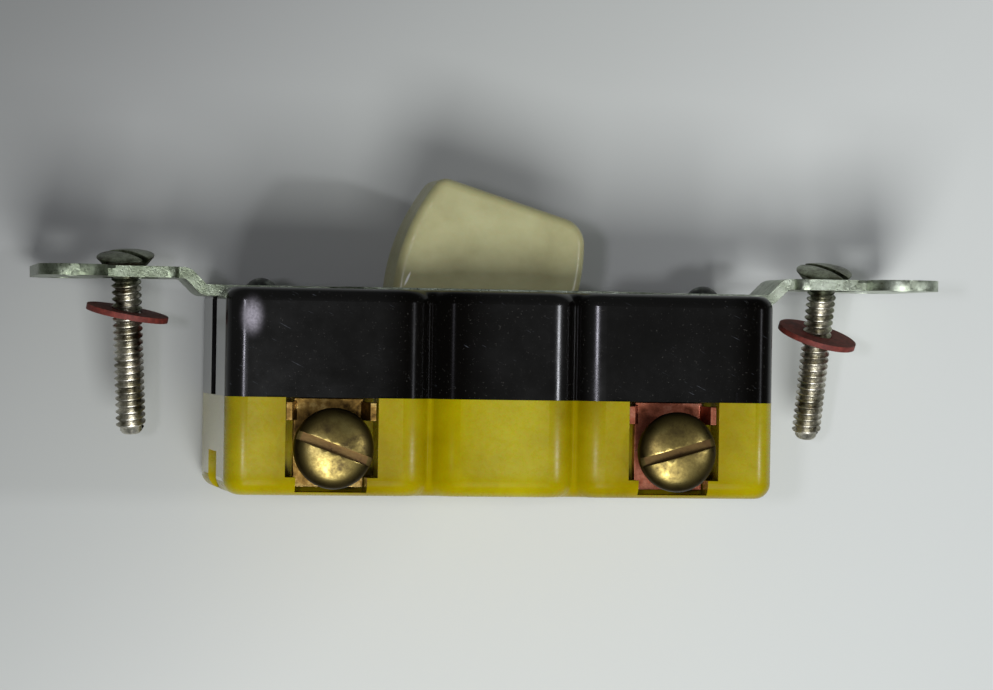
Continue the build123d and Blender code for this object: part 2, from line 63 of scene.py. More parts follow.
def hexColour(code):
    # sRGB hex to the linear values that the shader wants
    channels = [int(code[i:i + 2], 16) / 255 for i in (0, 2, 4)]
    linear = [c / 12.92 if c <= 0.04045 else ((c + 0.055) / 1.055) ** 2.4 for c in channels]
    return (*linear, 1.0)


def addNode(tree, kind, settings=None, links=None):
    # a setting goes to the node's own property of that name, or else to its socket; links feed
    # sockets from other nodes' outputs; the places and hex colours of stops fill a colour ramp
    node = tree.nodes.new(kind)
    for key, value in (settings or {}).items():
        if key in ("stops", "softStops"):
            ramp = node.color_ramp
            ramp.interpolation = "LINEAR" if key == "stops" else "B_SPLINE"
            while len(ramp.elements) < len(value):
                ramp.elements.new(0.5)
            for element, (place, code) in zip(ramp.elements, value):
                element.position = place
                element.color = hexColour(code)
        elif isinstance(key, str) and hasattr(node, key):
            setattr(node, key, value)
        else:
            node.inputs[key].default_value = value
    for key, socket in (links or {}).items():
        tree.links.new(socket, node.inputs[key])
    return node


def newMaterial(name, shaderSettings):
    # gives the object coordinates in mm, so a pattern's scale is how many repeats fit in 1 mm
    material = bpy.data.materials.new(name)
    material.use_nodes = True
    tree = material.node_tree
    shader = tree.nodes["Principled BSDF"]
    for key, value in shaderSettings.items():
        shader.inputs[key].default_value = value
    place = addNode(tree, "ShaderNodeTexCoord").outputs["Object"]
    inMm = addNode(tree, "ShaderNodeMapping", {"Scale": (1 / mm,) * 3}, {"Vector": place})
    return material, tree, shader, inMm.outputs["Vector"]


def feedShader(tree, shader, sources):
    for name, source in sources.items():
        tree.links.new(source, shader.inputs[name])


def startClean():
    if bpy.context.object and bpy.context.object.mode != "OBJECT":
        bpy.ops.object.mode_set(mode="OBJECT")
    bpy.ops.object.select_all(action="DESELECT")


def applyModifier(piece, kind, settings):
    modifier = piece.modifiers.new(kind.title(), kind)
    for key, value in settings.items():
        setattr(modifier, key, value)
    bpy.context.view_layer.objects.active = piece
    bpy.ops.object.modifier_apply(modifier=modifier.name)


def cleanMesh(piece, capSides=0):
    # merges doubles, caps open ends of capSides edges, and turns every face outwards
    startClean()
    piece.select_set(True)
    bpy.context.view_layer.objects.active = piece
    bpy.ops.object.mode_set(mode="EDIT")
    bpy.ops.mesh.select_all(action="SELECT")
    bpy.ops.mesh.remove_doubles(threshold=mergeGap)
    if capSides:
        bpy.ops.mesh.fill_holes(sides=capSides)
    bpy.ops.mesh.normals_make_consistent(inside=False)
    bpy.ops.object.mode_set(mode="OBJECT")


def turnedPiece(name, points, steps, pitch=0.0, turns=1):
    # draws a half profile of (radius, height) in mm by extruding one point, then turns it round Z
    startClean()
    bpy.ops.mesh.primitive_plane_add(size=mm, location=(0, 0, 0))
    piece = bpy.context.object
    piece.name = name
    bpy.ops.object.mode_set(mode="EDIT")
    bpy.ops.mesh.select_all(action="SELECT")
    bpy.ops.mesh.merge(type="CENTER")
    here = Vector((0, 0, 0))
    for count, (radius, height) in enumerate(points):
        target = Vector((radius, 0, height)) * mm
        if count == 0:
            bpy.ops.transform.translate(value=target - here)
        else:
            bpy.ops.mesh.extrude_region_move(TRANSFORM_OT_translate={"value": target - here})
        here = target
    bpy.ops.object.mode_set(mode="OBJECT")
    applyModifier(piece, "SCREW", {
        "axis": "Z", "angle": 2 * pi, "screw_offset": pitch * mm, "iterations": turns,
        "steps": steps, "render_steps": steps, "use_merge_vertices": True,
        "merge_threshold": mergeGap})
    cleanMesh(piece)
    return piece


def cutSlot(piece, length, width, floor, top, turn):
    # saws a straight driver slot across a head, down to the height floor
    startClean()
    bpy.ops.mesh.primitive_cube_add(
        size=1, location=(0, 0, (floor + top) / 2 * mm), rotation=(0, 0, radians(turn)),
        scale=(length * mm, width * mm, (top - floor) * mm))
    saw = bpy.context.object
    applyModifier(piece, "BOOLEAN", {"object": saw, "operation": "DIFFERENCE", "solver": "EXACT"})
    bpy.data.objects.remove(saw, do_unlink=True)


def joinPieces(pieces, name):
    startClean()
    for piece in pieces:
        piece.select_set(True)
    bpy.context.view_layer.objects.active = pieces[0]
    bpy.ops.object.join()
    pieces[0].name = name
    return pieces[0]


def seatPiece(piece, matrix, body, node, material, smoothAngle):
    # moves the mesh to its place and leaves the object itself at the origin
    piece.data.transform(matrix)
    piece.data.materials.clear()
    piece.data.materials.append(material)
    startClean()
    piece.select_set(True)
    bpy.context.view_layer.objects.active = piece
    bpy.ops.object.shade_smooth_by_angle(angle=radians(smoothAngle))
    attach(piece, body)
    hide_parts(node)


def dressNode(node, material):
    for place in frame["nodes"][node].material_slots:
        place.material = material


# zinc-plated steel, clear chromate gone slightly green and dull; sheared edges look grainy and
# sparkle. Clouds are 1.5 to 2 mm across and grit 0.3 mm; painted shade darkens it along an axis, in
# mm
# on the strip, painted shade makes it darker towards its left end
stripPlating = {
    "name": "zincPlatedStrip", "tones": [(0.34, "8F9685"), (0.46, "AAB29F"), (0.60, "C5CDBC")],
    "cloudsPerMm": 0.7, "gritPerMm": 3.2, "gritDepth": 0.1, "smoothest": 0.22, "roughest": 0.50,
    "shadeAxis": "X", "shadeFrom": 56.0, "shadeTo": -40.0, "shadeTone": "B4B8AE"}
# on the screws the head is tinted darker and greener: painted shade, and the strip's plating hue
screwPlating = {
    "name": "zincPlatedScrew", "tones": [(0.34, "5C5240"), (0.46, "9C9888"), (0.60, "D2CEC2")],
    "cloudsPerMm": 0.5, "gritPerMm": 3.2, "gritDepth": 0.04, "smoothest": 0.22, "roughest": 0.50,
    "shadeAxis": "Y", "shadeFrom": -0.8, "shadeTo": 0.4, "shadeTone": "A8B4A4"}


def zincPlate(look):
    material, tree, shader, inMm = newMaterial(look["name"], {"Metallic": 1.0})
    cloud = addNode(tree, "ShaderNodeTexNoise", {
        "Scale": look["cloudsPerMm"], "Detail": 6, "Roughness": 0.7}, {"Vector": inMm})
    tone = addNode(tree, "ShaderNodeValToRGB", {"stops": look["tones"]},
                   {"Fac": cloud.outputs["Fac"]})
    parts = addNode(tree, "ShaderNodeSeparateXYZ", None, {"Vector": inMm})
    # painted shade: the tone is darkened along one axis, between the two given places
    axisShade = addNode(tree, "ShaderNodeMapRange", {
        "From Min": look["shadeFrom"], "From Max": look["shadeTo"]},
        {"Value": parts.outputs[look["shadeAxis"]]})
    axisShaded = addNode(tree, "ShaderNodeMix", {
        "data_type": "RGBA", "blend_type": "MULTIPLY", "B": hexColour(look["shadeTone"])},
        {"Factor": axisShade.outputs["Result"], "A": tone.outputs["Color"]})
    grit = addNode(tree, "ShaderNodeTexNoise", {
        "Scale": look["gritPerMm"], "Detail": 4, "Roughness": 0.7}, {"Vector": inMm})
    shine = addNode(tree, "ShaderNodeMapRange", {
        "From Min": 0.3, "From Max": 0.7, "To Min": look["smoothest"], "To Max": look["roughest"]},
        {"Value": grit.outputs["Fac"]})
    bump = addNode(tree, "ShaderNodeBump", {"Strength": 0.6, "Distance": look["gritDepth"] * mm},
                   {"Height": grit.outputs["Fac"]})
    feedShader(tree, shader, {
        "Base Color": axisShaded.outputs["Result"], "Roughness": shine.outputs["Result"],
        "Normal": bump.outputs["Normal"]})
    return material


bodyEnds = {"half": 32.0, "face": 31.86, "shine": 0.04}    # mm from the middle, and roughness


def alongBody(tree, parts):
    # 0 at the body's left end and 1 at its right
    return addNode(tree, "ShaderNodeMapRange", {
        "From Min": -bodyEnds["half"], "From Max": bodyEnds["half"]}, {"Value": parts.outputs["X"]})


def glossyEnds(tree, parts, shine):
    # the flat end faces came out of the mould with a higher polish than the long sides
    off = addNode(tree, "ShaderNodeMath", {"operation": "ABSOLUTE"}, {0: parts.outputs["X"]})
    side = addNode(tree, "ShaderNodeMath", {"operation": "LESS_THAN", 1: bodyEnds["face"]},
                   {0: off.outputs["Value"]})
    kept = addNode(tree, "ShaderNodeMath", {"operation": "MULTIPLY"},
                   {0: shine.outputs["Result"], 1: side.outputs["Value"]})
    return addNode(tree, "ShaderNodeMapRange", {"To Min": bodyEnds["shine"]},
                   {"Value": kept.outputs["Value"]})


# black phenolic, moulded: deep gloss, less glossy where it was handled, with dust, a few fine
# scratches in patches 6 mm across, and a painted glint, a pale rough patch on the upper left
# corner. Painted shade in a black specular tint holds the reflection back in the valleys and at the
# right end
coverLook = {
    "black": "070605", "dust": "55534E", "scratch": "5C6066", "paintedGlint": "A29CA6",
    "patchesPerMm": 0.16, "specksPerMm": 3.2, "scratchesPerMm": 1.1, "grainsPerMm": 3.4,
    "scratchTurn": 0.45, "scratchStretch": (0.5, 7.0, 1.0),
    "glintPlace": (-29.1, -3.6, 14.2), "glintRadius": 2.0, "glintStretch": (1.0, 0.6, 0.6),
    "glintFade": 1.6, "glintRoughness": 0.3, "smoothest": 0.12, "roughest": 0.22, "waveDepth": 0.1,
    "shadeTint": [
        (0.27, "FFFFFF"), (0.30, "A0A0A0"), (0.325, "202020"), (0.415, "202020"), (0.44, "808080"),
        (0.49, "FFFFFF"), (0.597, "FFFFFF"), (0.607, "FFFFFF"), (0.618, "303030"),
        (0.645, "303030"), (0.655, "FFFFFF"), (0.665, "FFFFFF"), (0.91, "FFFFFF"),
        (0.94, "606060"), (0.96, "404040")]}


def phenolic(look):
    material, tree, shader, inMm = newMaterial("blackPhenolic", {
        "IOR": 1.55, "Specular IOR Level": 0.36})
    haze = addNode(tree, "ShaderNodeTexNoise", {
        "Scale": look["patchesPerMm"], "Detail": 4, "Roughness": 0.65}, {"Vector": inMm})
    speck = addNode(tree, "ShaderNodeTexNoise", {
        "Scale": look["specksPerMm"], "Detail": 2, "Roughness": 0.9}, {"Vector": inMm})
    specks = addNode(tree, "ShaderNodeMapRange", {"From Min": 0.66, "From Max": 0.74},
                     {"Value": speck.outputs["Fac"]})
    dusty = addNode(tree, "ShaderNodeMath", {"operation": "MULTIPLY"},
                    {0: specks.outputs["Result"], 1: haze.outputs["Fac"]})
    tone = addNode(tree, "ShaderNodeMix", {
        "data_type": "RGBA", "A": hexColour(look["black"]), "B": hexColour(look["dust"])},
        {"Factor": dusty.outputs["Value"]})
    # slanting scratches
    turned = addNode(tree, "ShaderNodeMapping", {"Rotation": (0, 0, look["scratchTurn"])},
                     {"Vector": inMm})
    slant = addNode(tree, "ShaderNodeMapping", {"Scale": look["scratchStretch"]},
                    {"Vector": turned.outputs["Vector"]})
    scratch = addNode(tree, "ShaderNodeTexNoise", {"Scale": look["scratchesPerMm"], "Detail": 2},
                      {"Vector": slant.outputs["Vector"]})
    lines = addNode(tree, "ShaderNodeMapRange", {"From Min": 0.71, "From Max": 0.80},
                    {"Value": scratch.outputs["Fac"]})
    patches = addNode(tree, "ShaderNodeMapRange", {"From Min": 0.50, "From Max": 0.58},
                      {"Value": haze.outputs["Fac"]})
    scored = addNode(tree, "ShaderNodeMath", {"operation": "MULTIPLY"},
                     {0: lines.outputs["Result"], 1: patches.outputs["Result"]})
    pale = addNode(tree, "ShaderNodeMix", {"data_type": "RGBA", "B": hexColour(look["scratch"])},
                   {"Factor": scored.outputs["Value"], "A": tone.outputs["Result"]})
    # painted glint: a pale patch, grainy and fading outwards
    centred = addNode(tree, "ShaderNodeVectorMath", {
        "operation": "SUBTRACT", 1: look["glintPlace"]}, {0: inMm})
    longer = addNode(tree, "ShaderNodeVectorMath", {
        "operation": "MULTIPLY", 1: look["glintStretch"]}, {0: centred.outputs["Vector"]})
    away = addNode(tree, "ShaderNodeVectorMath", {"operation": "LENGTH"},
                   {0: longer.outputs["Vector"]})
    glintSpot = addNode(tree, "ShaderNodeMapRange", {
        "From Min": look["glintRadius"], "From Max": 0.0, "interpolation_type": "SMOOTHERSTEP"},
        {"Value": away.outputs["Value"]})
    grain = addNode(tree, "ShaderNodeTexNoise", {
        "Scale": look["grainsPerMm"], "Detail": 4, "Roughness": 0.75}, {"Vector": inMm})
    glintBreakup = addNode(tree, "ShaderNodeMapRange", {
        "From Min": 0.30, "From Max": 0.62, "To Min": 0.45}, {"Value": grain.outputs["Fac"]})
    fading = addNode(tree, "ShaderNodeMath", {"operation": "POWER", 1: look["glintFade"]},
                     {0: glintSpot.outputs["Result"]})
    paintedGlint = addNode(tree, "ShaderNodeMath", {"operation": "MULTIPLY"},
                    {0: fading.outputs["Value"], 1: glintBreakup.outputs["Result"]})
    glinted = addNode(tree, "ShaderNodeMix", {"data_type": "RGBA", "B": hexColour(look["paintedGlint"])},
                      {"Factor": paintedGlint.outputs["Value"], "A": pale.outputs["Result"]})
    # gloss
    handled = addNode(tree, "ShaderNodeMapRange", {
        "From Min": 0.3, "From Max": 0.7, "To Min": look["smoothest"], "To Max": look["roughest"]},
        {"Value": haze.outputs["Fac"]})
    parts = addNode(tree, "ShaderNodeSeparateXYZ", None, {"Vector": inMm})
    along = alongBody(tree, parts)
    # painted shade: a black specular tint holds the reflection back in the valleys and at the right
    # end
    shadeTint = addNode(tree, "ShaderNodeValToRGB", {"softStops": look["shadeTint"]},
                   {"Fac": along.outputs["Result"]})
    shine = glossyEnds(tree, parts, handled)
    # the surface is rougher under the painted glint
    glintRoughened = addNode(tree, "ShaderNodeMath", {"operation": "MULTIPLY_ADD", 1: look["glintRoughness"]},
                   {0: paintedGlint.outputs["Value"], 2: shine.outputs["Result"]})
    bump = addNode(tree, "ShaderNodeBump", {"Strength": 0.12, "Distance": look["waveDepth"] * mm},
                   {"Height": haze.outputs["Fac"]})
    feedShader(tree, shader, {
        "Specular Tint": shadeTint.outputs["Color"], "Base Color": glinted.outputs["Result"],
        "Roughness": glintRoughened.outputs["Value"], "Normal": bump.outputs["Normal"]})
    return material


# mustard urea, moulded and slightly see-through: soft gloss and clouds 8 mm across. Painted shade
# makes it browner over the hollows and valleys, in a band that runs from the body's middle to its
# ends. Painted shade also holds the reflection back in the valleys and round the bottom edge, in mm
# up
baseLook = {
    "tones": [(0.32, "988800"), (0.52, "A89A02"), (0.70, "B2A606")], "shadeBandTone": "E1D4AC",
    "cloudsPerMm": 0.12, "grainsPerMm": 1.6, "grainDepth": 0.08,
    "smoothest": 0.21, "roughest": 0.30, "bottomEdge": (-22.2, -21.0), "bottomShade": 0.12,
    "shadeBandReflection": 0.3,
    "shadeBand": [
        (0.05, "000000"), (0.16, "404040"), (0.265, "FFFFFF"), (0.35, "909090"), (0.42, "E0E0E0"),
        (0.80, "E0E0E0"), (0.88, "909090"), (0.97, "505050")],
    "shadeTint": [
        (0.33, "FFFFFF"), (0.36, "606060"), (0.38, "404040"), (0.41, "404040"), (0.43, "A0A0A0"),
        (0.49, "FFFFFF"), (0.595, "FFFFFF"), (0.608, "FFFFFF"), (0.618, "404040"),
        (0.645, "404040"), (0.655, "FFFFFF"), (0.67, "FFFFFF")]}


def mustardUrea(look):
    material, tree, shader, inMm = newMaterial("mustardUrea", {
        "IOR": 1.5, "Subsurface Weight": 0.2, "Subsurface Scale": 1.5 * mm})
    cloud = addNode(tree, "ShaderNodeTexNoise", {
        "Scale": look["cloudsPerMm"], "Detail": 5, "Roughness": 0.6}, {"Vector": inMm})
    tone = addNode(tree, "ShaderNodeValToRGB", {"stops": look["tones"]},
                   {"Fac": cloud.outputs["Fac"]})
    parts = addNode(tree, "ShaderNodeSeparateXYZ", None, {"Vector": inMm})
    off = addNode(tree, "ShaderNodeMath", {"operation": "ABSOLUTE"}, {0: parts.outputs["X"]})
    reach = addNode(tree, "ShaderNodeMath", {"operation": "DIVIDE", 1: bodyEnds["half"]},
                    {0: off.outputs["Value"]})
    # painted shade: browner over the hollows and valleys
    shadeBand = addNode(tree, "ShaderNodeValToRGB", {"softStops": look["shadeBand"]},
                   {"Fac": reach.outputs["Value"]})
    deep = addNode(tree, "ShaderNodeMix", {
        "data_type": "RGBA", "blend_type": "MULTIPLY", "B": hexColour(look["shadeBandTone"])},
        {"Factor": shadeBand.outputs["Color"], "A": tone.outputs["Color"]})
    grain = addNode(tree, "ShaderNodeTexNoise", {"Scale": look["grainsPerMm"], "Detail": 3},
                    {"Vector": inMm})
    moulded = addNode(tree, "ShaderNodeMapRange", {
        "From Min": 0.3, "From Max": 0.7, "To Min": look["smoothest"], "To Max": look["roughest"]},
        {"Value": grain.outputs["Fac"]})
    shine = glossyEnds(tree, parts, moulded)
    # how much the surface reflects: painted shade holds it back in the valleys, at the bottom edge
    # and over the browner band
    along = alongBody(tree, parts)
    shadeTint = addNode(tree, "ShaderNodeValToRGB", {"softStops": look["shadeTint"]},
                   {"Fac": along.outputs["Result"]})
    low = addNode(tree, "ShaderNodeMapRange", {
        "From Min": look["bottomEdge"][0], "From Max": look["bottomEdge"][1],
        "To Min": look["bottomShade"]}, {"Value": parts.outputs["Y"]})
    held = addNode(tree, "ShaderNodeMix", {
        "data_type": "RGBA", "blend_type": "MULTIPLY", "Factor": 1.0},
        {"A": shadeTint.outputs["Color"], "B": low.outputs["Result"]})
    faint = addNode(tree, "ShaderNodeMapRange", {"To Min": 1.0, "To Max": look["shadeBandReflection"]},
                    {"Value": shadeBand.outputs["Color"]})
    shown = addNode(tree, "ShaderNodeMix", {
        "data_type": "RGBA", "blend_type": "MULTIPLY", "Factor": 1.0},
        {"A": held.outputs["Result"], "B": faint.outputs["Result"]})
    bump = addNode(tree, "ShaderNodeBump", {"Strength": 0.10, "Distance": look["grainDepth"] * mm},
                   {"Height": grain.outputs["Fac"]})
    feedShader(tree, shader, {
        "Specular Tint": shown.outputs["Result"], "Base Color": deep.outputs["Result"],
        "Roughness": shine.outputs["Result"], "Normal": bump.outputs["Normal"]})
    return material


# ivory urea, moulded: warm cream, semi-gloss, clouded every 5 mm, with a painted highlight, a small
# pale streak low on one side
handleLook = {
    "tones": [(0.30, "A29D70"), (0.50, "ACA87A"), (0.70, "B3B082")], "cloudsPerMm": 0.2,
    "grainsPerMm": 2.2, "grainDepth": 0.06, "smoothest": 0.28, "roughest": 0.42,
    "highlightTone": "F4F0E4", "highlightPlace": (-10.0, 1.1, 4.7), "highlightTurn": 66,    # mm, degrees
    "highlightSize": (1.0, 0.16, 1.0)}


def ivoryUrea(look):
    material, tree, shader, inMm = newMaterial("ivoryUrea", {
        "IOR": 1.5, "Subsurface Weight": 0.1, "Subsurface Scale": 1.2 * mm})
    cloud = addNode(tree, "ShaderNodeTexNoise", {
        "Scale": look["cloudsPerMm"], "Detail": 4, "Roughness": 0.6}, {"Vector": inMm})
    tone = addNode(tree, "ShaderNodeValToRGB", {"stops": look["tones"]},
                   {"Fac": cloud.outputs["Fac"]})
    # painted highlight: a small pale streak on the front face
    highlightFrame = addNode(tree, "ShaderNodeMapping", {
        "vector_type": "TEXTURE", "Location": look["highlightPlace"],
        "Rotation": (0, 0, radians(look["highlightTurn"])), "Scale": look["highlightSize"]},
        {"Vector": inMm})
    away = addNode(tree, "ShaderNodeVectorMath", {"operation": "LENGTH"},
                   {0: highlightFrame.outputs["Vector"]})
    highlightMask = addNode(tree, "ShaderNodeMapRange", {"From Min": 1.0, "From Max": 0.6},
                      {"Value": away.outputs["Value"]})
    highlighted = addNode(tree, "ShaderNodeMix", {
        "data_type": "RGBA", "B": hexColour(look["highlightTone"])},
        {"Factor": highlightMask.outputs["Result"], "A": tone.outputs["Color"]})
    grain = addNode(tree, "ShaderNodeTexNoise", {"Scale": look["grainsPerMm"], "Detail": 2},
                    {"Vector": inMm})
    shine = addNode(tree, "ShaderNodeMapRange", {
        "From Min": 0.3, "From Max": 0.7, "To Min": look["smoothest"], "To Max": look["roughest"]},
        {"Value": grain.outputs["Fac"]})
    bump = addNode(tree, "ShaderNodeBump", {"Strength": 0.08, "Distance": look["grainDepth"] * mm},
                   {"Height": grain.outputs["Fac"]})
    feedShader(tree, shader, {
        "Base Color": highlighted.outputs["Result"], "Roughness": shine.outputs["Result"],
        "Normal": bump.outputs["Normal"]})
    return material


# plain rolled brass, copper and spring steel: polished where rubbed, browned or greyed elsewhere
# in clouds 1 to 2 mm across, with a rolling grain of 0.25 mm
rolledMetals = {
    "rolledBrass": {
        "tones": [(0.34, "3C2C16"), (0.50, "94743C"), (0.64, "E4C478")], "cloudsPerMm": 0.5,
        "roughness": 0.34},
    "rolledCopper": {
        "tones": [(0.34, "5A3020"), (0.50, "A8624A"), (0.64, "E0987C")], "cloudsPerMm": 0.5,
        "roughness": 0.32},
    "springSteel": {
        "tones": [(0.34, "5C5C58"), (0.50, "90908C"), (0.64, "B8B8B4")], "cloudsPerMm": 0.8,
        "roughness": 0.3}}
metalGrain = {"perMm": 4.0, "depth": 0.04, "duller": 0.12, "shinier": 0.06}


def metalBump(tree, inMm):
    grain = addNode(tree, "ShaderNodeTexNoise", {"Scale": metalGrain["perMm"], "Detail": 2},
                    {"Vector": inMm})
    return addNode(tree, "ShaderNodeBump", {"Strength": 0.2, "Distance": metalGrain["depth"] * mm},
                   {"Height": grain.outputs["Fac"]})


def rolledMetal(name):
    look = rolledMetals[name]
    material, tree, shader, inMm = newMaterial(name, {"Metallic": 1.0})
    cloud = addNode(tree, "ShaderNodeTexNoise", {
        "Scale": look["cloudsPerMm"], "Detail": 6, "Roughness": 0.65}, {"Vector": inMm})
    tone = addNode(tree, "ShaderNodeValToRGB", {"stops": look["tones"]},
                   {"Fac": cloud.outputs["Fac"]})
    shine = addNode(tree, "ShaderNodeMapRange", {
        "From Min": 0.35, "From Max": 0.65, "To Min": look["roughness"] + metalGrain["duller"],
        "To Max": look["roughness"] - metalGrain["shinier"]}, {"Value": cloud.outputs["Fac"]})
    feedShader(tree, shader, {
        "Base Color": tone.outputs["Color"], "Roughness": shine.outputs["Result"],
        "Normal": metalBump(tree, inMm).outputs["Normal"]})
    return material


# turned brass screws, browned and olive with age in clouds 2 mm across, darker towards the rim and
# lighter on the dome, with painted shade in the driver slot. Sizes are in mm
low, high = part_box("left_terminal_screw")
brassScrewLook = {
    "tones": [(0.34, "50442A"), (0.50, "847442"), (0.64, "AE9C5E")], "cloudsPerMm": 0.45,
    "smoothest": 0.27, "roughest": 0.44,
    "headCentre": (abs(low[0] + high[0]) / 2 / mm, abs(low[1] + high[1]) / 2 / mm, 0),
    "rimTone": "3A3018", "rimInner": 3.9, "rimOuter": 5.0, "rimRaggedness": 1.4,
    "slotShadeTone": "6A5034", "slotShadeTop": high[2] / mm - 0.9, "slotShadeReach": 4.0,
    "slotShadeThinnest": 0.45, "slotShadeThickest": 0.95}


def turnedBrass(look):
    material, tree, shader, inMm = newMaterial("agedTurnedBrass", {"Metallic": 1.0})
    cloud = addNode(tree, "ShaderNodeTexNoise", {
        "Scale": look["cloudsPerMm"], "Detail": 6, "Roughness": 0.7}, {"Vector": inMm})
    tone = addNode(tree, "ShaderNodeValToRGB", {"stops": look["tones"]},
                   {"Fac": cloud.outputs["Fac"]})
    # both heads are folded onto one, and seen flat they give the distance from the head's middle
    folded = addNode(tree, "ShaderNodeVectorMath", {"operation": "ABSOLUTE"}, {0: inMm})
    flat = addNode(tree, "ShaderNodeVectorMath", {"operation": "MULTIPLY", 1: (1, 1, 0)},
                   {0: folded.outputs["Vector"]})
    away = addNode(tree, "ShaderNodeVectorMath", {"operation": "DISTANCE", 1: look["headCentre"]},
                   {0: flat.outputs["Vector"]})
    # darker towards the rim, raggedly
    ragged = addNode(tree, "ShaderNodeMath", {
        "operation": "MULTIPLY_ADD", 1: look["rimRaggedness"]},
        {0: cloud.outputs["Fac"], 2: away.outputs["Value"]})
    rim = addNode(tree, "ShaderNodeMapRange", {
        "From Min": look["rimInner"], "From Max": look["rimOuter"]},
        {"Value": ragged.outputs["Value"]})
    browned = addNode(tree, "ShaderNodeMix", {
        "data_type": "RGBA", "B": hexColour(look["rimTone"])},
        {"Factor": rim.outputs["Result"], "A": tone.outputs["Color"]})
    # painted shade below the dome, in the slot only
    parts = addNode(tree, "ShaderNodeSeparateXYZ", None, {"Vector": inMm})
    sunk = addNode(tree, "ShaderNodeMath", {"operation": "LESS_THAN", 1: look["slotShadeTop"]},
                   {0: parts.outputs["Z"]})
    inside = addNode(tree, "ShaderNodeMath", {"operation": "LESS_THAN", 1: look["slotShadeReach"]},
                     {0: away.outputs["Value"]})
    slotted = addNode(tree, "ShaderNodeMath", {"operation": "MULTIPLY"},
                      {0: sunk.outputs["Value"], 1: inside.outputs["Value"]})
    slotShadeStrength = addNode(tree, "ShaderNodeMapRange", {
        "From Min": 0.35, "From Max": 0.6, "To Min": look["slotShadeThinnest"],
        "To Max": look["slotShadeThickest"]}, {"Value": cloud.outputs["Fac"]})
    slotShade = addNode(tree, "ShaderNodeMath", {"operation": "MULTIPLY"},
                    {0: slotted.outputs["Value"], 1: slotShadeStrength.outputs["Result"]})
    slotShaded = addNode(tree, "ShaderNodeMix", {
        "data_type": "RGBA", "B": hexColour(look["slotShadeTone"])},
        {"Factor": slotShade.outputs["Value"], "A": browned.outputs["Result"]})
    shine = addNode(tree, "ShaderNodeMapRange", {
        "From Min": 0.35, "From Max": 0.65, "To Min": look["roughest"],
        "To Max": look["smoothest"]}, {"Value": cloud.outputs["Fac"]})
    feedShader(tree, shader, {
        "Base Color": slotShaded.outputs["Result"], "Roughness": shine.outputs["Result"],
        "Normal": metalBump(tree, inMm).outputs["Normal"]})
    return material


# vulcanised fibre: dense matt paper board, dark red, with faint layers 0.7 mm across
washerLook = {"tones": [(0.30, "501C14"), (0.52, "6E2A20"), (0.72, "883A2E")],
              "mottlesPerMm": 1.4, "layerDepth": 0.1}


def redFibre(look):
    material, tree, shader, inMm = newMaterial("redFibre", {"IOR": 1.5, "Roughness": 0.7})
    mottle = addNode(tree, "ShaderNodeTexNoise", {
        "Scale": look["mottlesPerMm"], "Detail": 4, "Roughness": 0.7}, {"Vector": inMm})
    tone = addNode(tree, "ShaderNodeValToRGB", {"stops": look["tones"]},
                   {"Fac": mottle.outputs["Fac"]})
    bump = addNode(tree, "ShaderNodeBump", {"Strength": 0.3, "Distance": look["layerDepth"] * mm},
                   {"Height": mottle.outputs["Fac"]})
    feedShader(tree, shader, {
        "Base Color": tone.outputs["Color"], "Normal": bump.outputs["Normal"]})
    return material


# black-oxide steel rivets, rubbed to grey in spots under 1 mm across
rivetLook = {
    "name": "blackedSteel", "shader": {"Metallic": 0.6, "Roughness": 0.45},
    "tones": [(0.35, "161816"), (0.55, "343832"), (0.70, "6A7066")],
    "mottlesPerMm": 1.2, "detail": 5}
# pressed black fibre, matt, for the carrier inside, mottled every 0.5 mm
carrierLook = {
    "name": "blackFibre", "shader": {"IOR": 1.5, "Roughness": 0.75},
    "tones": [(0.3, "16130F"), (0.7, "2C2721")], "mottlesPerMm": 2.0, "detail": 4}


def mottledBlack(look):
    material, tree, shader, inMm = newMaterial(look["name"], look["shader"])
    mottle = addNode(tree, "ShaderNodeTexNoise", {
        "Scale": look["mottlesPerMm"], "Detail": look["detail"]}, {"Vector": inMm})
    tone = addNode(tree, "ShaderNodeValToRGB", {"stops": look["tones"]},
                   {"Fac": mottle.outputs["Fac"]})
    feedShader(tree, shader, {"Base Color": tone.outputs["Color"]})
    return material


screwZinc = zincPlate(screwPlating)
agedBrass = turnedBrass(brassScrewLook)
metals = {name: rolledMetal(name) for name in rolledMetals}
fibre = redFibre(washerLook)
darkFibre = mottledBlack(carrierLook)
dressings = {
    "mounting_strap": zincPlate(stripPlating), "cover": phenolic(coverLook),
    "base": mustardUrea(baseLook), "handle": ivoryUrea(handleLook),
    "assembly_rivets": mottledBlack(rivetLook), "carrier_pin": metals["springSteel"],
    "spring_plunger": metals["rolledBrass"], "carrier_rivets": metals["rolledBrass"],
    "jaw_rivets": metals["rolledBrass"], "left_jaw": metals["rolledCopper"],
    "right_jaw": metals["rolledCopper"], "knife_blade": metals["rolledCopper"],
    "left_terminal_plate": metals["rolledBrass"], "right_terminal_plate": metals["rolledCopper"],
    "left_fibre_washer": fibre, "right_fibre_washer": fibre,
    "carrier_front_half": darkFibre, "carrier_back_half": darkFibre}
for node, material in dressings.items():
    dressNode(node, material)
print("materials on", len(dressings), "frame parts")

edgeRounding = {"segments": 2, "sharperThan": 50, "weldGap": 0.01}    # degrees, mm
# stamped and moulded edges, with the width of their rounding in mm
softEdges = {"mounting_strap": 0.12, "base": 0.12,
             "left_terminal_plate": 0.08, "right_terminal_plate": 0.08}
for node, width in softEdges.items():
    weld = frame["nodes"][node].modifiers.new("Weld", "WELD")
    weld.merge_threshold = edgeRounding["weldGap"] * mm
    bevel = frame["nodes"][node].modifiers.new("Bevel", "BEVEL")
    bevel.width, bevel.segments = width * mm, edgeRounding["segments"]
    bevel.limit_method, bevel.angle_limit = "ANGLE", radians(edgeRounding["sharperThan"])
print("edges softened on", len(softEdges), "frame parts")


